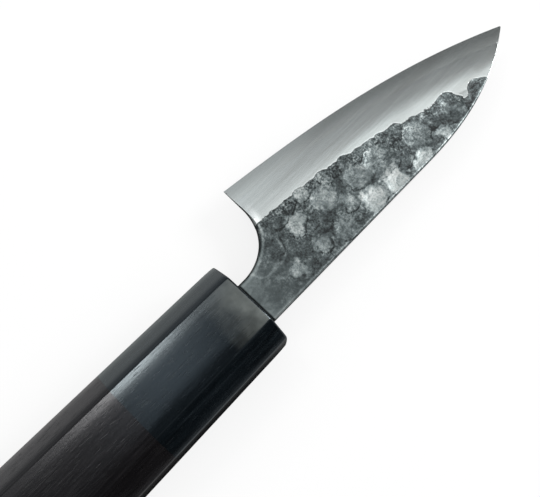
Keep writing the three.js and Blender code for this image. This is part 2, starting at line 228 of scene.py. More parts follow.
# Colours in linear light. A ramp is a list of places from 0 to 1, each with its colour.
BLACK = (0.0, 0.0, 0.0)
# colour of the painted shade along the spine, the choil and the root of the neck
PAINTED_SHADE = (0.008, 0.01, 0.01)
SCALE_RAMP = [
    (0.0, (0.007, 0.009, 0.0095)), (0.3, (0.052, 0.065, 0.067)), (0.55, (0.145, 0.17, 0.172)),
    (0.8, (0.29, 0.32, 0.317)), (1.0, (0.40, 0.425, 0.42)),
]
SCALE_BORDER = (0.006, 0.008, 0.009)
# colour of the polished bevel across its breadth, with painted light and dark bands
POLISH_SHADING_RAMP = [
    (0.34, (0.66, 0.705, 0.70)), (0.42, (0.69, 0.735, 0.73)), (0.56, (0.65, 0.695, 0.69)),
    (0.8, (0.80, 0.862, 0.857)), (1.0, (0.585, 0.63, 0.626)),
]
POLISH_BAND = (0.47, 0.49, 0.48)
# painted highlight along the bevel's rim at the heel
HEEL_HIGHLIGHT = (0.93, 0.96, 0.95)
# colour of the core across its bevel, with painted shading darker towards the edge
CORE_SHADING_RAMP = [(0.12, (0.52, 0.555, 0.55)), (0.35, (0.66, 0.70, 0.69))]
CORE_BAND = (0.41, 0.42, 0.41)
# painted shade along the core's spine
CORE_SPINE_SHADE = (0.12, 0.13, 0.13)
HORN_RAMP = [
    (0.35, (0.0006, 0.0012, 0.0018)), (0.55, (0.0022, 0.0038, 0.0052)), (0.75, (0.008, 0.011, 0.0135)),
]
# painted sheen on the horn's corners on the edge's side
HORN_CORNER_SHEEN = (0.08, 0.091, 0.088)
# painted sheen on the ferrule's nose
HORN_NOSE_SHEEN = (0.105, 0.113, 0.104)
HORN_TINT = (0.80, 0.92, 1.0)
WOOD_RAMP = [
    (0.3, (0.0018, 0.0015, 0.0018)), (0.55, (0.0034, 0.003, 0.0034)), (0.75, (0.0064, 0.0055, 0.006)),
]
WOOD_FIBRE = (0.0125, 0.011, 0.012)
# painted sheen on the wood's corners on the edge's side
WOOD_CORNER_SHEEN = (0.088, 0.085, 0.085)
WOOD_PORE = (0.002, 0.0017, 0.0017)
WOOD_TINT = (0.94, 0.95, 1.0)
FILLER_RAMP = [(0.3, (0.004, 0.004, 0.004)), (0.7, (0.014, 0.013, 0.012))]
DOWEL_RAMP = [(0.3, (0.33, 0.22, 0.11)), (0.7, (0.48, 0.34, 0.19))]
FLOOR_GREY = (0.82, 0.82, 0.82)
SKY_TINT = (0.95, 0.98, 1.0)

# Roughness at its least, gloss and metal of the finishes
POLISH_ROUGH = 0.12
CORE_ROUGH = 0.14
HORN_ROUGH = 0.11
WOOD_ROUGH = 0.19
FILLER_ROUGH = 0.6
DOWEL_ROUGH = 0.7
HORN_GLOSS = 0.52
WOOD_GLOSS = 0.38
SCALE_METAL = 0.6

# Patterns that are alike along all axes, in features per metre
CLOUDS = 260.0
BLOTCHES = 650.0
GRAINS = 2100.0
SPECKS = 2900.0
FILLER_GRAINS = 2600.0

# Patterns that are drawn out, in features per metre along X, Y and Z
GRINDING_LINES = (60.0, 2600.0, 900.0)
GRINDING_BANDS = (16.0, 280.0, 60.0)
HORN_STREAKS = (60.0, 1100.0, 1100.0)
HORN_SCRATCHES = (220.0, 3600.0, 3600.0)
HORN_MARKS = (450.0, 2400.0, 2400.0)
WOOD_FIGURE = (14.0, 260.0, 260.0)
WOOD_FIBRES = (110.0, 2400.0, 2400.0)
WOOD_PORES = (420.0, 2400.0, 2400.0)
WOOD_WAVES = (420.0, 900.0, 900.0)
DOWEL_FIGURE = (20.0, 500.0, 500.0)

# Places that follow from the sizes
heel_x = NECK_FLAT + CHOIL_RADIUS
spine_y = -SPINE_BELOW_AXIS
neck_top_y = spine_y + NECK_HEIGHT
choil_top_y = neck_top_y + CHOIL_RADIUS
heel_y = choil_top_y + HEEL_WALL
tip_x = heel_x + BLADE_LENGTH
tip_y = spine_y + TIP_RISE + TIP_BLUNT
dowel_radius = TANG_ROOT_HEIGHT / 2 + DOWEL_WALL
slot_width = SPINE_THICKNESS + 2 * FIT
dowel_end = TANG_LENGTH + FIT + DOWEL_TAIL

# The knife lies on the handle's lower flat, so its axes are turned a little against the frame's
side_slope = (BUTT_WIDTH - FRONT_WIDTH) / (2 * HANDLE_LENGTH)
rest_x = -(FERRULE_LENGTH + HANDLE_LENGTH - BUTT_CHAMFER) / 2
rest_point = Vector((rest_x, 0.0, -FRONT_WIDTH / 2 + side_slope * rest_x))
lie_turn = Matrix.Rotation(math.atan(side_slope), 3, "Y")


def to_row(points):
    """Points on the knife's axes, in millimetres, as points of the frame, in metres."""
    return (np.asarray(points, float) - np.array(rest_point)) @ np.array(lie_turn).T * MM


def row_x(x):
    """Place along the frame of a place along the knife, near enough for a finish."""
    return (x - rest_x) * MM


# Blade forms
def along_blade(x):
    return np.clip((x - heel_x) / BLADE_LENGTH, 0.0, 1.0)


def mixed(start, end, part):
    return start + (end - start) * part


def thickness_at(x):
    return mixed(SPINE_THICKNESS, TIP_THICKNESS, along_blade(x))


def core_half_at(x):
    return CORE_THICKNESS / 2 * thickness_at(x) / SPINE_THICKNESS


def bevel_width_at(x):
    return mixed(BEVEL_WIDTH, BEVEL_TIP_WIDTH, along_blade(x))


def spine_at(x):
    swept = np.maximum(0.0, x - heel_x - SPINE_STRAIGHT) / (BLADE_LENGTH - SPINE_STRAIGHT)
    return spine_y + TIP_RISE * swept ** SPINE_CURVE


def edge_at(x):
    along = along_blade(x)
    belly = heel_y - tip_y - EDGE_FALL
    return heel_y - EDGE_FALL * along - belly * along ** EDGE_CURVE


def face_at(x, y):
    """Half thickness of the forged face before any hammering."""
    return thickness_at(x) / 2 - FACE_SLOPE * np.maximum(0.0, y - spine_at(x))


def bevel_rise_at(x):
    return face_at(x, edge_at(x) - bevel_width_at(x)) - EDGE_THICKNESS / 2


def grind_share(x, y):
    """Zero at the cutting edge, one at the upper end of the bevel."""
    return (edge_at(x) - y) / bevel_width_at(x)


def bevel_at(x, y):
    """Half thickness that the grindstone leaves, a swelling bevel up from the edge."""
    up = grind_share(x, y)
    swell = np.where(up < 1, up * (1 + BEVEL_CONVEXITY * (1 - up)), up)
    return EDGE_THICKNESS / 2 + bevel_rise_at(x) * swell


def bevel_distance(x, half):
    """Distance from the edge at which the bevel has the given half thickness."""
    share = (half - EDGE_THICKNESS / 2) / bevel_rise_at(x)
    steep = 1 + BEVEL_CONVEXITY
    root = np.sqrt(steep ** 2 - 4 * BEVEL_CONVEXITY * share)
    return bevel_width_at(x) * (steep - root) / (2 * BEVEL_CONVEXITY)


def cladding_half_at(x):
    """Half thickness of the blade where the bevel runs out of a cladding."""
    return core_half_at(x) + SEAM + LAYER_FEATHER


def cladding_far_at(x):
    return edge_at(x) - bevel_distance(x, cladding_half_at(x))


def cladding_end():
    """The last place where there is any cladding left below the tip."""
    low, high = heel_x, tip_x
    while high - low > END_TOLERANCE:
        middle = (low + high) / 2
        if cladding_far_at(middle) - spine_at(middle) > TIP_BLUNT:
            low = middle
        else:
            high = middle
    return low


def ease_at(x):
    """Rounding of the outline, finer on the ground steel near the tip."""
    return np.interp(along_blade(x), TIP_EASE_SPAN, (EASE, TIP_EASE))


def place_blow(along, across, radius, tone=0.0):
    x = heel_x + along * BLADE_LENGTH
    band_top = edge_at(x) - bevel_width_at(x)
    return x, mixed(spine_at(x), band_top, across), radius, tone


def wander(x, y, pitch, seed):
    """Smooth random field over the blade, about one in size, that changes over the given pitch."""
    chance = np.random.RandomState(seed)
    field = np.zeros_like(x)
    for _ in range(WANDER_WAVES):
        turn, phase = chance.uniform(0.0, 2 * math.pi, 2)
        length = pitch * chance.uniform(*WANDER_LENGTHS)
        field += np.sin((x * math.cos(turn) + y * math.sin(turn)) * 2 * math.pi / length + phase)
    return field / math.sqrt(WANDER_WAVES / 2)


def strayed(x, y):
    """Points moved a little, so that a bowl measured from them strays from a circle."""
    seed_x, seed_y = BLOW_WANDER_SEEDS
    off_x = x + BLOW_WANDER * wander(x, y, BLOW_WANDER_PITCH, seed_x)
    off_y = y + BLOW_WANDER * wander(x, y, BLOW_WANDER_PITCH, seed_y)
    return off_x, off_y


def hammering(x, y, blows):
    """Depth of the blows at each point, the tone there, and how near a crease is.

    The tone is worn scale and partly painted light pooled in the bowls. A crease is the line where two bowls
    meet, on the spine's side of the deeper one; its darkening is painted shade.
    """
    off_x, off_y = strayed(x, y)
    ragged_x = off_x + RAGGED * wander(x, y, RAGGED_PITCH, RAGGED_SEEDS[0])
    ragged_y = off_y + RAGGED * wander(x, y, RAGGED_PITCH, RAGGED_SEEDS[1])
    deepest = np.zeros_like(x)
    next_deepest = np.full_like(x, -1.0)
    spine_side = np.zeros_like(x)
    merged = np.ones_like(x)
    tone = np.full_like(x, BETWEEN_TONE)
    for blow_x, blow_y, radius, blow_tone in blows:
        apart = ((off_x - blow_x) ** 2 + (off_y - blow_y) ** 2) / radius ** 2
        depth = (1 - apart) * radius ** 2 / (2 * HAMMER_CROWN)
        merged += np.exp(depth / RIM_BLEND)
        next_deepest = np.maximum(next_deepest, np.minimum(depth, deepest))
        towards_spine = np.clip(0.5 - (off_y - blow_y) / radius, 0.0, 1.0)
        spine_side = np.where(depth > deepest, towards_spine, spine_side)
        deepest = np.maximum(depth, deepest)
        tone_reach = (TONE_SPREAD * radius) ** 2
        ragged_apart = ((ragged_x - blow_x) ** 2 + (ragged_y - blow_y) ** 2) / tone_reach
        tone += (blow_tone - BETWEEN_TONE) * np.clip(1 - ragged_apart ** TONE_FALL, 0.0, 1.0)
    crease = np.exp((next_deepest - deepest) / CREASE_DEPTH) * spine_side
    return RIM_BLEND * np.log(merged), tone, crease


def choil_distance(x, y):
    """How far a point lies inside the outline of the neck, the choil and the heel."""
    round_part = np.hypot(x - NECK_FLAT, y - choil_top_y) - CHOIL_RADIUS
    below_heel = np.where(x < NECK_FLAT, neck_top_y - y, round_part)
    return np.where(y > choil_top_y, x - heel_x, below_heel)


def choil_shade(x, y):
    """One on the outline of the neck, the choil and the heel, falling to zero over its breadth."""
    return 1 - choil_distance(x, y) / np.interp(y, CHOIL_SHADE_AT, CHOIL_SHADE_BREADTH)


def rim_band(distance, place, breadth):
    """One at a place near an outline, falling off over the breadth on both sides."""
    return np.exp(-((distance - place) / breadth) ** 2)


def neck_dent_distance(x, y):
    """How far a point lies from the middle of the dent near the neck, a little unevenly."""
    off_x, off_y = strayed(x, y)
    return np.hypot(off_x - NECK_DENT[0], off_y - NECK_DENT[1])


# Meshes
def new_piece(name, points, faces):
    """A mesh object of the frame from points on the knife's axes, smooth except at sharp corners."""
    mesh = bpy.data.meshes.new(name)
    mesh.from_pydata(to_row(points).tolist(), [], faces)
    mesh.update()
    mesh.shade_smooth()
    mesh.set_sharp_from_angle(angle=SMOOTH_ANGLE)
    piece = bpy.data.objects.new(name, mesh)
    bpy.context.scene.collection.objects.link(piece)
    return piece


def keep_on_points(piece, name, values, first, elsewhere=0.0):
    """Values on a run of the mesh's points, as a named attribute, with one value on the other points."""
    everywhere = np.full(len(piece.data.vertices), elsewhere, np.float32)
    everywhere[first:first + values.size] = values.ravel()
    kept = piece.data.attributes.new(name, "FLOAT", "POINT")
    kept.data.foreach_set("value", everywhere)


def layer_piece(name, upper, lower):
    """Closed layer between two sheets of points, each of shape (lines, points on a line, 3)."""
    lines, rows = upper.shape[:2]
    under_rows = lower.shape[1]
    points = np.concatenate([upper.reshape(-1, 3), lower.reshape(-1, 3)])
    top = np.arange(lines * rows).reshape(lines, rows)
    under = lines * rows + np.arange(lines * under_rows).reshape(lines, under_rows)
    faces = []

    def strip(a, b):
        """Quads between two runs of vertex numbers of equal length."""
        quads = np.stack([a[:-1], a[1:], b[1:], b[:-1]], axis=1)
        faces.extend(quads.tolist())

    for row in range(rows - 1):
        strip(top[:, row], top[:, row + 1])
    for row in range(under_rows - 1):
        strip(under[:, row + 1], under[:, row])
    strip(under[:, 0], top[:, 0])
    strip(top[:, -1], under[:, -1])
    faces.append(top[0].tolist() + under[0][::-1].tolist())
    faces.append(under[-1].tolist() + top[-1][::-1].tolist())
    return new_piece(name, points, faces)


def cross_lines(far_at, last_x):
    """Near end, far end and easing of each line across the blade, from the tang's end to the tip."""
    lines = [
        ((-TANG_LENGTH, -TANG_END_HEIGHT / 2), (-TANG_LENGTH, TANG_END_HEIGHT / 2), True),
        ((-FERRULE_WEB, -TANG_ROOT_HEIGHT / 2), (-FERRULE_WEB, TANG_ROOT_HEIGHT / 2), True),
        ((-SEAL_DEPTH, spine_y), (-SEAL_DEPTH, neck_top_y), True),
    ]
    for x in np.arange(0.0, NECK_FLAT, BLADE_PITCH):
        lines.append(((x, spine_y), (x, neck_top_y), True))
    choil_steps = math.ceil(CHOIL_RADIUS * math.pi / 2 / BLADE_PITCH)
    for turn in np.linspace(0.0, math.pi / 2, choil_steps + 1):
        x = NECK_FLAT + CHOIL_RADIUS * math.sin(turn)
        y = choil_top_y - CHOIL_RADIUS * math.cos(turn)
        lines.append(((x, spine_y), (x, y), True))
    blade_steps = math.ceil((last_x - heel_x) / BLADE_PITCH)
    stations = np.linspace(heel_x, last_x, blade_steps + 1)[1:]
    lines.append((((heel_x + stations[0]) / 2, spine_y), (heel_x, far_at(heel_x)), False))
    for x in stations:
        lines.append(((x, spine_at(x)), (x, far_at(x)), False))
    return lines


def points_on(lines, distances):
    """Points along each line at distances(length, line) from its near end, with both distances kept."""
    flat, from_near, to_far = [], [], []
    for line in lines:
        near, far = np.array(line[0], float), np.array(line[1], float)
        length = np.linalg.norm(far - near)
        steps = distances(length, line)
        flat.append(near + (far - near) * (steps / length)[:, None])
        from_near.append(steps)
        to_far.append(length - steps)
    return np.array(flat), np.array(from_near), np.array(to_far)


def sheet_of(flat, heights):
    return np.concatenate([flat, heights[..., None]], axis=2)


def core_piece():
    """Fine core: flat between the claddings, ground down to the edge in front of them."""
    def distances(length, line):
        far_x = line[1][0]
        ground = length / 2 if line[2] else bevel_distance(far_x, cladding_half_at(far_x)) - LAYER_GAP
        start = length - min(ground, length * CORE_GROUND_MOST)
        return np.concatenate([[0.0, start - LAYER_GAP], np.linspace(start, length, CORE_GROUND_ROWS)])

    lines = cross_lines(edge_at, tip_x)
    flat, from_near, to_far = points_on(lines, distances)
    x, y = flat[..., 0], flat[..., 1]
    eased_line = np.array([line[2] for line in lines])[:, None]
    past_cladding = to_far < bevel_distance(x, cladding_half_at(x)) - LAYER_GAP / 2
    bare = ~eased_line & (past_cladding | (x > cladding_end()))
    half = np.where(bare, bevel_at(x, y), np.minimum(core_half_at(x), bevel_at(x, y)))
    piece = layer_piece("core_steel_fine", sheet_of(flat, half), sheet_of(flat, -half))
    on_spine = np.where(from_near == 0, 1.0, 0.0)
    kept = {"grind": grind_share(x, y), "outline": on_spine, "choil": choil_shade(x, y)}
    for name, values in kept.items():
        keep_on_points(piece, name, np.stack([values, values]), 0)
    return piece


def cladding_piece(name, blows, side):
    """Fine cladding with blows sunk into it, and what the finish needs to know kept on its points."""
    rows = math.ceil((heel_y - spine_y) / BLADE_PITCH)
    lines = cross_lines(cladding_far_at, cladding_end())

    def distances(length, line):
        ease = min(ease_at(line[1][0]), length * EASE_MOST)
        rounding = np.linspace(0.0, ease, EASE_STEPS + 1)
        inner = np.linspace(ease, length - ease, rows)
        return np.concatenate([rounding[:-1], inner, length - rounding[-2::-1]])

    # Forged face and ground bevel
    flat, from_near, to_far = points_on(lines, distances)
    x, y = flat[..., 0], flat[..., 1]
    sunk, tone, crease = hammering(x, y, blows)
    forged = face_at(x, y) - sunk - SCALE_RELIEF * (1 + wander(x, y, SCALE_PITCH, SCALE_SEED)) / 2
    spot_x, spot_y, spot_radius, _ = place_blow(*PROUD_SPOT)
    apart = ((x - spot_x) ** 2 + (y - spot_y) ** 2) / spot_radius ** 2
    forged += PROUD_HEIGHT * np.clip(1 - apart, 0.0, 1.0)
    ground = bevel_at(x, y)

    # Rounding of the outline
    eased_line = np.array([line[2] for line in lines])[:, None]
    from_choil = choil_distance(x, y)
    from_outline = np.where(eased_line, np.minimum(np.minimum(from_near, to_far), from_choil), from_near)
    ease = ease_at(x)
    inside_ease = np.clip(1 - from_outline / ease, 0.0, 1.0)
    under_scale = np.clip((ground - forged) / GROUND_CRISP, 0.0, 1.0)
    eased = ease * (1 - np.sqrt(1 - inside_ease ** 2)) * np.where(eased_line, under_scale, 1.0)

    # The layer
    outside = np.maximum(np.minimum(forged, ground) - eased, cladding_half_at(x))
    ends = flat[:, [0, -1]]
    inside = core_half_at(ends[..., 0]) + SEAM
    outer = sheet_of(flat, side * outside)
    inner = sheet_of(ends, side * inside)
    piece = layer_piece(name, outer, inner) if side > 0 else layer_piece(name, inner, outer)
    first = 0 if side > 0 else inner.shape[0] * inner.shape[1]

    # Wear, painted shade and a painted highlight, kept on the outer points
    choil_rim = rim_band(from_choil, *CHOIL_WEAR) * np.interp(x, (0.0, heel_x), (NECK_WEAR, 1.0))
    worn = np.maximum(rim_band(from_near, *SPINE_WEAR), choil_rim)
    tone += worn * (WEAR_TONE - tone)
    tone += NECK_RIM_TONE * rim_band(neck_dent_distance(x, y), NECK_DENT_RADIUS, NECK_RIM_BREADTH)
    keep_on_points(piece, "forged", ground - forged, first, 1.0)
    keep_on_points(piece, "tone", tone, first, WALL_TONE)
    # rim carries the painted highlight along the heel's rim
    keep_on_points(piece, "rim", rim_band(from_choil, *HEEL_HIGHLIGHT_RIM), first)
    keep_on_points(piece, "crease", crease, first)
    keep_on_points(piece, "grind", grind_share(x, y), first)
    keep_on_points(piece, "outline", np.clip(1 - from_near / ease, 0.0, 1.0), first, 1.0)
    keep_on_points(piece, "choil", choil_shade(x, y), first)
    return piece


def octagon_corners(behind):
    """Corners of the handle's octagon at a place behind the ferrule's front, and its half sizes."""
    part = behind / HANDLE_LENGTH
    half_y = mixed(FRONT_HEIGHT, BUTT_HEIGHT, part) / 2
    half_z = mixed(FRONT_WIDTH, BUTT_WIDTH, part) / 2
    flat_y = half_y * (1 - 2 * CUT_HEIGHT / FRONT_HEIGHT)
    flat_z = half_z * (1 - 2 * CUT_WIDTH / FRONT_WIDTH)
    upper = [(half_y, flat_z), (flat_y, half_z), (-flat_y, half_z), (-half_y, flat_z)]
    return np.array(upper + [(-y, -z) for y, z in upper]), half_y, half_z


def dressed_section(behind, inset):
    """Octagon with swelling facets and rounded corners, drawn in by the given inset."""
    corners, half_y, half_z = octagon_corners(behind)
    corners = corners * (1 - (inset + FACET_SWELL) / np.array([half_y, half_z]))
    section = []
    count = len(corners)
    for index in range(count):
        before, corner, after = corners[index - 1], corners[index], corners[(index + 1) % count]
        into = (before - corner) / np.linalg.norm(before - corner)
        out = (after - corner) / np.linalg.norm(after - corner)
        start, end = corner + into * CORNER_ROUND, corner + out * CORNER_ROUND
        for part in np.linspace(0.0, 1.0, ROUND_STEPS + 1):
            section.append((1 - part) ** 2 * start + 2 * part * (1 - part) * corner + part ** 2 * end)
        start, end = end, after - out * CORNER_ROUND
        outward = np.array([out[1], -out[0]])
        outward = outward if outward @ corner > 0 else -outward
        most = min(FACET_SWELL, SWELL_SHARE * np.linalg.norm(after - corner))
        for part in np.linspace(0.0, 1.0, FACET_STEPS + 1)[1:-1]:
            swell = most * (1 - abs(2 * part - 1) ** SWELL_POWER)
            section.append(mixed(start, end, part) + outward * swell)
    return np.array([(-behind, y, z) for y, z in section])


def end_stops(place, inward, rounding):
    """Places along the handle from a rounded end inwards, each with how far its section is drawn in."""
    if rounding == 0:
        return [(place, 0.0)]
    turns = np.linspace(0.0, math.pi / 2, ROUND_STEPS + 1)
    stops = [(rounding * (1 - math.cos(turn)), rounding * (1 - math.sin(turn))) for turn in turns]
    stops.append((rounding * END_REACH, 0.0))
    return [(place + inward * reach, inset) for reach, inset in stops]


def octagon_piece(name, front, rear, front_round, rear_round):
    """Dressed length of the handle between two places behind the ferrule's front, rounded at its ends."""
    stops = end_stops(front, 1, front_round)
    rear_stops = end_stops(rear, -1, rear_round)[::-1]
    plain = np.arange(stops[-1][0] + RING_PITCH, rear_stops[0][0], RING_PITCH)
    stops += [(behind, 0.0) for behind in plain]
    stops += rear_stops
    rings = []
    for behind, inset in stops:
        sag = NOSE_SAG * max(0.0, 1 - behind / NOSE_LENGTH) ** 2
        rings.append(dressed_section(behind, inset + sag))
    sides = len(rings[0])
    faces = []
    for ring in range(len(rings) - 1):
        for side in range(sides):
            a = ring * sides + side
            b = ring * sides + (side + 1) % sides
            faces.append([a, a + sides, b + sides, b])
    faces.append(list(range(sides)))
    rear_ring = (len(rings) - 1) * sides
    faces.append(list(range(rear_ring, rear_ring + sides))[::-1])
    return new_piece(name, np.concatenate(rings), faces)


# Cutting
def block_piece(name, low, high):
    """Box between two corners on the knife's axes."""
    points = [(x, y, z) for x in (low[0], high[0]) for y in (low[1], high[1]) for z in (low[2], high[2])]
    faces = [(0, 1, 3, 2), (4, 6, 7, 5), (0, 4, 5, 1), (2, 3, 7, 6), (0, 2, 6, 4), (1, 5, 7, 3)]
    return new_piece(name, points, faces)


def bar_piece(name, radius, front, rear):
    """Round bar along the handle's axis."""
    sides = ROUND_SIDES
    turns = np.linspace(0.0, 2 * math.pi, sides, endpoint=False)
    circle = [(radius * math.cos(turn), radius * math.sin(turn)) for turn in turns]
    points = [(-behind, y, z) for behind in (front, rear) for y, z in circle]
    faces = [[side, side + sides, (side + 1) % sides + sides, (side + 1) % sides] for side in range(sides)]
    faces.append(list(range(sides)))
    faces.append(list(range(sides, 2 * sides))[::-1])
    return new_piece(name, points, faces)


def cut(piece, tools):
    """Cuts the tools out of the piece and deletes them."""
    for tool in tools:
        step = piece.modifiers.new("cut", "BOOLEAN")
        step.object = tool
        step.operation = "DIFFERENCE"
        step.solver = "EXACT"
    bpy.context.view_layer.update()
    evaluated = piece.evaluated_get(bpy.context.evaluated_depsgraph_get())
    mesh = bpy.data.meshes.new_from_object(evaluated)
    piece.modifiers.clear()
    piece.data = mesh
    for tool in tools:
        bpy.data.objects.remove(tool)
    mesh.shade_smooth()
    mesh.set_sharp_from_angle(angle=CUT_SMOOTH_ANGLE)
    return piece


def neck_block(name, room, front, rear):
    """Box round the blade's neck with the given room on every side, between two places behind the front."""
    half = SPINE_THICKNESS / 2 + room
    return block_piece(name, (-rear, spine_y - room, -half), (-front, neck_top_y + room, half))


def ferrule_piece():
    piece = octagon_piece("ferrule_dressed", 0.0, FERRULE_LENGTH, FERRULE_CHAMFER, 0)
    half = slot_width / 2
    slot_rear = (-FERRULE_WEB - CUT_PAST, spine_y - FIT, -half)
    slot_front = (CUT_PAST, neck_top_y + FIT, half)
    mouth = neck_block("mouth", 2 * FIT + SEAL_WALL, -CUT_PAST, SEAL_DEPTH)
    slot = block_piece("slot", slot_rear, slot_front)
    seat = bar_piece("seat", dowel_radius + FIT, FERRULE_WEB, FERRULE_LENGTH + CUT_PAST)
    return cut(piece, [mouth, slot, seat])


def handle_piece():
    front = FERRULE_LENGTH + JOINT_GAP
    piece = octagon_piece("handle_dressed", front, HANDLE_LENGTH, 0, BUTT_CHAMFER)
    bore = bar_piece("bore", dowel_radius + FIT, front - CUT_PAST, dowel_end + FIT)
    return cut(piece, [bore])


def seal_piece():
    room = 2 * FIT + SEAL_WALL - FILLER_GAP
    piece = neck_block("tang_seal_dressed", room, SEAL_RECESS, SEAL_DEPTH - FIT)
    hole = neck_block("hole", FILLER_GAP, -CUT_PAST, SEAL_DEPTH)
    return cut(piece, [hole])


# Shader helpers
def add_node(tree, kind, settings=None, **inputs):
    """A new node with settings and inputs; an input that is a socket is linked, and other values are set."""
    node = tree.nodes.new(kind)
    for name, value in (settings or {}).items():
        setattr(node, name, value)
    for name, value in inputs.items():
        key = int(name[1:]) if name[0] == "_" else name.replace("_", " ")
        if isinstance(value, bpy.types.NodeSocket):
            tree.links.new(value, node.inputs[key])
        else:
            node.inputs[key].default_value = value
    return node


def maths(tree, operation, first, second=0.0, third=0.0, clamp=False):
    settings = {"operation": operation, "use_clamp": clamp}
    return add_node(tree, "ShaderNodeMath", settings, _0=first, _1=second, _2=third).outputs[0]


def times(tree, first, second):
    return maths(tree, "MULTIPLY", first, second)


def larger(tree, first, second):
    return maths(tree, "MAXIMUM", first, second)


def plus(tree, base, value, share):
    """Base with a share of a value added."""
    return maths(tree, "MULTIPLY_ADD", value, share, base)


def between(tree, part, first, second):
    """Number between two numbers."""
    settings = {"data_type": "FLOAT"}
    return add_node(tree, "ShaderNodeMix", settings, _0=part, _2=first, _3=second).outputs[0]


def opaque(colour):
    """A plain colour with its full alpha; a socket stays as it is."""
    return colour if isinstance(colour, bpy.types.NodeSocket) else (*colour, 1.0)


def blended(tree, part, first, second):
    """Colour between two colours."""
    settings = {"data_type": "RGBA"}
    return add_node(tree, "ShaderNodeMix", settings, _0=part, _6=opaque(first), _7=opaque(second)).outputs[2]


def levels(tree, value, span, to=(0.0, 1.0)):
    """Value moved from one span to another, without leaving it."""
    settings = {"clamp": True}
    ends = {"_1": span[0], "_2": span[1], "_3": to[0], "_4": to[1]}
    return add_node(tree, "ShaderNodeMapRange", settings, _0=value, **ends).outputs[0]


def ramp(tree, value, stops):
    node = add_node(tree, "ShaderNodeValToRGB", Fac=value)
    elements = node.color_ramp.elements
    while len(elements) < len(stops):
        elements.new(0.5)
    for element, (place, colour) in zip(elements, stops):
        element.position = place
        element.color = opaque(colour)
    return node.outputs[0]


def grey_ramp(tree, value, stops):
    return ramp(tree, value, [(place, (level, level, level)) for place, level in stops])


def object_place(tree):
    return add_node(tree, "ShaderNodeTexCoord").outputs["Object"]


def object_normal(tree):
    return add_node(tree, "ShaderNodeTexCoord").outputs["Normal"]


def axis_of(tree, vector, axis):
    return add_node(tree, "ShaderNodeSeparateXYZ", Vector=vector).outputs[axis]


def noise(tree, place, scale, detail, rough, twist=0.0):
    settings = {"Vector": place, "Scale": scale, "Detail": detail, "Roughness": rough, "Distortion": twist}
    return add_node(tree, "ShaderNodeTexNoise", **settings).outputs[0]


def centred_noise(tree, place, scale, detail, rough, twist=0.0):
    """Noise that swings about zero."""
    return maths(tree, "SUBTRACT", noise(tree, place, scale, detail, rough, twist), 0.5)


def drawn_noise(tree, scales, detail, rough, twist=0.0):
    """Noise with a scale of its own along each axis."""
    place = add_node(tree, "ShaderNodeMapping", Vector=object_place(tree), Scale=scales).outputs[0]
    return noise(tree, place, 1.0, detail, rough, twist)


def attribute(tree, name):
    return add_node(tree, "ShaderNodeAttribute", {"attribute_name": name}).outputs["Fac"]


def bump(tree, height, strength, distance):
    return add_node(tree, "ShaderNodeBump", Height=height, Strength=strength, Distance=distance).outputs[0]


def new_material(name):
    material = bpy.data.materials.new(name)
    material.use_nodes = True
    tree = material.node_tree
    return material, tree, tree.nodes["Principled BSDF"]


def link(tree, shader, **sockets):
    for name, socket in sockets.items():
        tree.links.new(socket, shader.inputs[name.replace("_", " ")])


# Materials
def grinding_lines(tree):
    """Fine lines that the stone leaves along the bevel."""
    return drawn_noise(tree, GRINDING_LINES, detail=3.0, rough=0.6)


def grinding_bands(tree):
    """Soft uneven bands along the ground bevel."""
    bands = drawn_noise(tree, GRINDING_BANDS, detail=3.0, rough=0.55, twist=0.3)
    return levels(tree, bands, (0.42, 0.66), (0.0, 0.5))


def scale_light(tree, place, past_neck, clouds, blotches, grains):
    """How pale the forge scale is: the blows' tones, partly painted light, mottled, with painted shade in
    the creases; calmer on the neck.
    """
    specks = levels(tree, noise(tree, place, SPECKS, detail=2.0, rough=0.5), (0.62, 0.72))
    near_bevel = levels(tree, attribute(tree, "forged"), (0.05, 0.35), (1.0, 0.5))
    speckled = times(tree, near_bevel, levels(tree, clouds, (-0.1, 0.1), (0.6, 1.2)))
    mottle = plus(tree, times(tree, grains, 2.3), specks, share=0.32)
    mottle = plus(tree, times(tree, blotches, 1.1), mottle, share=speckled)
    mottle = times(tree, mottle, levels(tree, past_neck, (0.0, 1.0), (0.2, 1.0)))
    light = maths(tree, "ADD", mottle, attribute(tree, "tone"))
    light = maths(tree, "ADD", light, levels(tree, past_neck, (0.0, 0.6), (0.16, 0.0)))
    light = plus(tree, light, clouds, share=0.6)
    gate = levels(tree, clouds, (-0.08, 0.05), (0.15, 0.85))
    gate = between(tree, past_neck, -0.12, gate)
    # painted shade in the creases; on the neck the creases become paler lines
    return maths(tree, "SUBTRACT", light, times(tree, attribute(tree, "crease"), gate))


def bevel_polish(tree, along, lines):
    """Colour of the ground bevel: painted light and dark bands across it, painted shade above towards the
    heel, and a painted highlight along the heel's rim.
    """
    grind = attribute(tree, "grind")
    # steel's colour with painted light and dark bands across the bevel
    polish = ramp(tree, grind, POLISH_SHADING_RAMP)
    polish = blended(tree, levels(tree, lines, (0.3, 0.7), (0.08, 0.0)), polish, BLACK)
    polish = blended(tree, grinding_bands(tree), polish, POLISH_BAND)
    # painted shade on the upper bevel near the heel
    near_heel = levels(tree, along, (row_x(heel_x), row_x(heel_x + DARK_HEEL)), (0.38, 0.0))
    polish = blended(tree, times(tree, near_heel, levels(tree, grind, (0.6, 0.8))), polish, BLACK)
    # painted highlight along the bevel's rim at the choil and the heel
    shine = times(tree, attribute(tree, "rim"), levels(tree, grind, (0.4, 0.9), (0.0, 0.5)))
    return blended(tree, shine, polish, HEEL_HIGHLIGHT)


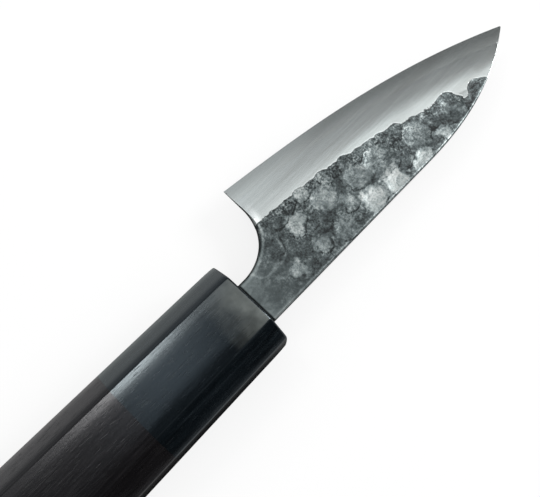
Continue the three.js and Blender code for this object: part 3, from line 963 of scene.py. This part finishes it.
def dark_outline(tree, along, kept):
    """Where painted shade lies along the spine and the choil, and the ferrule's painted shadow at the root
    of the neck.
    """
    spine = levels(tree, attribute(tree, "outline"), (0.3, 0.8))
    spine = times(tree, spine, levels(tree, kept, (0.0, 1.0), (0.65, 0.12)))
    choil = levels(tree, attribute(tree, "choil"), (0.1, 0.45), (0.0, 0.74))
    # painted shadow of the ferrule on the neck's root
    root = levels(tree, along, (row_x(NECK_PAINTED_SHADE), row_x(NECK_PAINTED_SHADE - NECK_PAINTED_SHADE_FADE)))
    return larger(tree, larger(tree, spine, choil), root)


def cladding_material():
    """Forge scale, dark and worn in blotches, above a ground and polished bevel."""
    material, tree, shader = new_material("hammered_cladding")
    place = object_place(tree)
    along = axis_of(tree, place, "X")
    past_neck = levels(tree, along, (row_x(NECK_FLAT), row_x(heel_x + NECK_FLAT)))
    clouds = centred_noise(tree, place, CLOUDS, detail=3.0, rough=0.5, twist=0.3)
    blotches = centred_noise(tree, place, BLOTCHES, detail=6.0, rough=0.6, twist=0.5)
    grains = centred_noise(tree, place, GRAINS, detail=3.0, rough=0.7)
    forged = attribute(tree, "forged")
    kept = levels(tree, plus(tree, forged, grains, share=0.05), (-0.004, 0.004))
    light = scale_light(tree, place, past_neck, clouds, blotches, grains)
    off_border = levels(tree, forged, (0.0, 0.02), (0.4, 1.0))
    scale_colour = blended(tree, off_border, SCALE_BORDER, ramp(tree, light, SCALE_RAMP))
    lines = grinding_lines(tree)
    outline = dark_outline(tree, along, kept)
    colour = blended(tree, kept, bevel_polish(tree, along, lines), scale_colour)
    # painted shade along the outline
    colour = blended(tree, outline, colour, PAINTED_SHADE)
    polish_rough = plus(tree, POLISH_ROUGH, lines, share=0.04)
    scale_rough = levels(tree, light, (0.1, 0.9), (0.45, 0.39))
    rough = between(tree, larger(tree, kept, outline), polish_rough, scale_rough)
    scaly = maths(tree, "SUBTRACT", kept, outline, clamp=True)
    metal = levels(tree, scaly, (0.0, 1.0), (1.0, SCALE_METAL))
    pits = times(tree, maths(tree, "ADD", blotches, grains), kept)
    relief = bump(tree, pits, strength=0.3, distance=0.12 * MM)
    link(tree, shader, Base_Color=colour, Roughness=rough, Metallic=metal, Normal=relief)
    return material


def core_material():
    """Hard steel, ground fine along the edge, with painted shading across the bevel and painted shade along
    the spine and the choil.
    """
    material, tree, shader = new_material("ground_core_steel")
    lines = grinding_lines(tree)
    colour = ramp(tree, attribute(tree, "grind"), CORE_SHADING_RAMP)
    colour = blended(tree, levels(tree, lines, (0.3, 0.7), (0.06, 0.0)), colour, BLACK)
    colour = blended(tree, grinding_bands(tree), colour, CORE_BAND)
    # painted shade along the spine and the choil
    spine = levels(tree, attribute(tree, "outline"), (0.35, 0.9), (0.0, 0.6))
    colour = blended(tree, spine, colour, CORE_SPINE_SHADE)
    choil = levels(tree, attribute(tree, "choil"), (0.1, 0.45), (0.0, 0.85))
    colour = blended(tree, choil, colour, PAINTED_SHADE)
    rough = plus(tree, CORE_ROUGH, lines, share=0.06)
    rough = plus(tree, rough, larger(tree, spine, choil), share=0.3)
    link(tree, shader, Base_Color=colour, Roughness=rough)
    shader.inputs["Metallic"].default_value = 1.0
    return material


def painted_sheen_corner(tree, normal):
    """Where a sheen is painted on the handle's corners on the edge's side."""
    side = axis_of(tree, normal, "Y")
    return times(tree, levels(tree, side, (0.6, 0.8)), levels(tree, side, (0.98, 0.86)))


def painted_sheen_nose(tree, normal):
    """Where a sheen is painted on the flats of the ferrule's nose, unevenly."""
    place = object_place(tree)
    clouds = noise(tree, place, CLOUDS, detail=3.0, rough=0.5)
    reach = plus(tree, axis_of(tree, place, "X"), clouds, share=NOSE_SHEEN_STRAY * MM)
    nose = levels(tree, reach, (row_x(NOSE_SHEEN[0]), row_x(NOSE_SHEEN[1])))
    nose = maths(tree, "POWER", nose, NOSE_SHEEN_POWER)
    facing = maths(tree, "ABSOLUTE", axis_of(tree, normal, "Z"))
    on_flats = times(tree, nose, levels(tree, facing, (0.95, 0.995)))
    return times(tree, on_flats, levels(tree, clouds, (0.3, 0.7), (0.55, 1.0)))


def ferrule_material():
    """Black horn with faint streaks along the handle, with a grey sheen painted on its nose and its corners
    on the edge's side.
    """
    material, tree, shader = new_material("black_horn")
    streaks = drawn_noise(tree, HORN_STREAKS, detail=5.0, rough=0.65, twist=0.4)
    scratches = drawn_noise(tree, HORN_SCRATCHES, detail=3.0, rough=0.7)
    marks = levels(tree, drawn_noise(tree, HORN_MARKS, detail=2.0, rough=0.5), (0.58, 0.68))
    normal = object_normal(tree)
    painted_sheen = painted_sheen_nose(tree, normal)
    colour = ramp(tree, streaks, HORN_RAMP)
    # painted sheen on the corners on the edge's side
    colour = blended(tree, painted_sheen_corner(tree, normal), colour, HORN_CORNER_SHEEN)
    # painted sheen on the nose
    colour = blended(tree, painted_sheen, colour, HORN_NOSE_SHEEN)
    rough = plus(tree, HORN_ROUGH, scratches, share=0.08)
    rough = plus(tree, rough, streaks, share=0.16)
    rough = plus(tree, rough, painted_sheen, share=0.2)
    rough = plus(tree, rough, marks, share=0.08)
    relief = maths(tree, "SUBTRACT", scratches, times(tree, marks, 0.25))
    relief = bump(tree, relief, strength=0.15, distance=0.05 * MM)
    link(tree, shader, Base_Color=colour, Roughness=rough, Normal=relief)
    shader.inputs["Specular Tint"].default_value = opaque(HORN_TINT)
    shader.inputs["Specular IOR Level"].default_value = HORN_GLOSS
    return material


def handle_material():
    """Dark open-pored hardwood, with a sheen painted on its corners on the edge's side."""
    material, tree, shader = new_material("dark_wood")
    figure = drawn_noise(tree, WOOD_FIGURE, detail=6.0, rough=0.6, twist=1.2)
    fibres = drawn_noise(tree, WOOD_FIBRES, detail=4.0, rough=0.65)
    pores = levels(tree, drawn_noise(tree, WOOD_PORES, detail=2.0, rough=0.5), (0.56, 0.66))
    waves = drawn_noise(tree, WOOD_WAVES, detail=4.0, rough=0.65)
    colour = ramp(tree, figure, WOOD_RAMP)
    colour = blended(tree, levels(tree, fibres, (0.5, 0.72), (0.0, 0.7)), colour, WOOD_FIBRE)
    # painted sheen on the corners on the edge's side
    colour = blended(tree, painted_sheen_corner(tree, object_normal(tree)), colour, WOOD_CORNER_SHEEN)
    colour = blended(tree, times(tree, pores, 0.8), colour, WOOD_PORE)
    rough = plus(tree, WOOD_ROUGH, pores, share=0.06)
    rough = plus(tree, rough, fibres, share=0.12)
    relief = maths(tree, "SUBTRACT", times(tree, fibres, 0.7), times(tree, pores, 0.25))
    relief = plus(tree, relief, waves, share=1.2)
    relief = bump(tree, relief, strength=0.25, distance=0.06 * MM)
    link(tree, shader, Base_Color=colour, Roughness=rough, Normal=relief)
    shader.inputs["Specular Tint"].default_value = opaque(WOOD_TINT)
    shader.inputs["Specular IOR Level"].default_value = WOOD_GLOSS
    return material


def seal_material():
    """Black filler, a little grainy."""
    material, tree, shader = new_material("black_filler")
    grains = noise(tree, object_place(tree), FILLER_GRAINS, detail=4.0, rough=0.6)
    relief = bump(tree, grains, strength=0.4, distance=0.05 * MM)
    link(tree, shader, Base_Color=ramp(tree, grains, FILLER_RAMP), Normal=relief)
    shader.inputs["Roughness"].default_value = FILLER_ROUGH
    return material


def dowel_material():
    """Pale turned wood."""
    material, tree, shader = new_material("dowel_wood")
    figure = drawn_noise(tree, DOWEL_FIGURE, detail=5.0, rough=0.6)
    relief = bump(tree, figure, strength=0.3, distance=0.1 * MM)
    link(tree, shader, Base_Color=ramp(tree, figure, DOWEL_RAMP), Normal=relief)
    shader.inputs["Roughness"].default_value = DOWEL_ROUGH
    return material


def floor_material():
    """Pale grey that the camera and polished surfaces see as white, darker close to the knife."""
    material, tree, shader = new_material("pale_floor")
    shader.inputs["Base Color"].default_value = opaque(FLOOR_GREY)
    shader.inputs["Roughness"].default_value = FLOOR_ROUGH
    path = add_node(tree, "ShaderNodeLightPath").outputs
    mirrored = larger(tree, path["Is Glossy Ray"], path["Is Transmission Ray"])
    seen = larger(tree, times(tree, path["Is Camera Ray"], FLOOR_WHITENESS), mirrored)
    around = add_node(tree, "ShaderNodeAmbientOcclusion", {"samples": SHADE_SAMPLES}, Distance=SHADE_REACH)
    lit = larger(tree, around.outputs["AO"], SHADE_LEAST)
    deepening = levels(tree, mirrored, (0.0, 1.0), (SHADE_SEEN, SHADE_MIRRORED))
    white = add_node(tree, "ShaderNodeEmission", Strength=maths(tree, "POWER", lit, deepening))
    both = add_node(tree, "ShaderNodeMixShader", Fac=seen, _1=shader.outputs[0], _2=white.outputs[0])
    tree.links.new(both.outputs[0], tree.nodes["Material Output"].inputs["Surface"])
    return material


# Studio
def floor_piece():
    """Wide pale floor that shows white and keeps a soft shadow."""
    reach = FLOOR_REACH
    corners = [(-reach, -reach, 0.0), (reach, -reach, 0.0), (reach, reach, 0.0), (-reach, reach, 0.0)]
    mesh = bpy.data.meshes.new("floor")
    mesh.from_pydata(corners, [], [(0, 1, 2, 3)])
    mesh.materials.append(floor_material())
    floor = bpy.data.objects.new("floor", mesh)
    bpy.context.scene.collection.objects.link(floor)


def looking(place, aim, up):
    """Turn and place, in the frame, of a thing that looks along its own -Z from one point to another."""
    start, end = (Vector(point) for point in to_row([place, aim]))
    back = (start - end).normalized()
    right = (lie_turn @ Vector(up)).cross(back).normalized()
    turn = Matrix((right, back.cross(right), back)).transposed().to_4x4()
    return Matrix.Translation(start) @ turn


def area_lamp(name, place, aim, depth_way, size, power, colour):
    """Soft rectangular lamp at a place on the knife's axes, turned to another."""
    lamp = bpy.data.lights.new(name, "AREA")
    lamp.shape = "RECTANGLE"
    lamp.size, lamp.size_y = size
    lamp.energy = power
    lamp.color = colour
    holder = bpy.data.objects.new(name, lamp)
    bpy.context.scene.collection.objects.link(holder)
    holder.matrix_world = looking(place, aim, depth_way)


def studio_world():
    """Dim surroundings, brighter on the edge's side."""
    world = bpy.data.worlds.new("studio")
    bpy.context.scene.world = world
    world.use_nodes = True
    tree = world.node_tree
    direction = add_node(tree, "ShaderNodeTexCoord").outputs["Generated"]
    reach = axis_of(tree, direction, "X")
    across = axis_of(tree, direction, "Y")
    height = axis_of(tree, direction, "Z")
    edge_side = levels(tree, across, (0.1, 0.4), (0.04, 1.0))
    level = times(tree, grey_ramp(tree, height, SKY_BY_HEIGHT), edge_side)
    level = times(tree, level, grey_ramp(tree, reach, SKY_BY_REACH))
    horizon = levels(tree, height, (0.06, 0.13), (0.1, 0.0))
    behind = times(tree, levels(tree, across, (-0.4, -0.65)), levels(tree, height, (0.54, 0.64)))
    level = larger(tree, larger(tree, level, horizon), times(tree, behind, SKY_BEHIND))
    background = tree.nodes["Background"].inputs
    tree.links.new(level, background["Strength"])
    background["Color"].default_value = opaque(SKY_TINT)


def camera_piece():
    camera = bpy.data.cameras.new("camera")
    camera.lens = CAMERA_LENS
    camera.sensor_width = SENSOR_WIDTH
    camera.clip_start = CAMERA_CLIP
    holder = bpy.data.objects.new("camera", camera)
    bpy.context.scene.collection.objects.link(holder)
    holder.matrix_world = looking(CAMERA_AT, CAMERA_AIM, CAMERA_UP)
    bpy.context.scene.camera = holder


# Assembly
def dress(piece, node, material):
    """Puts a piece in the place of a CAD node, with its finish."""
    piece.data.materials.clear()
    piece.data.materials.append(material)
    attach(piece, "root")
    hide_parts(node)


face_blows = [place_blow(*blow) for blow in BLOWS]
back_blows = [
    place_blow(along + BACK_SHIFT, 1 - across, radius, tone) for along, across, radius, tone in BLOWS
]

hammered = cladding_material()
dress(core_piece(), "core_steel", core_material())
dress(cladding_piece("face_cladding_fine", face_blows, 1), "face_cladding", hammered)
dress(cladding_piece("back_cladding_fine", back_blows, -1), "back_cladding", hammered)
dress(ferrule_piece(), "ferrule", ferrule_material())
dress(handle_piece(), "handle", handle_material())
dress(seal_piece(), "tang_seal", seal_material())
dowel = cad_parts["dowel"]
dowel.data.materials.clear()
dowel.data.materials.append(dowel_material())

floor_piece()
for name, (x, y), depth_way, size, power, colour in LAMPS:
    area_lamp(name, (x, y, LAMP_HEIGHT), (x, y, 0.0), depth_way, size, power, colour)
area_lamp("fill", FILL_AT, FILL_AIM, FILL_WAY, FILL_SIZE, FILL_POWER, WHITE)
studio_world()
camera_piece()
bpy.context.scene.view_settings.view_transform = "Standard"
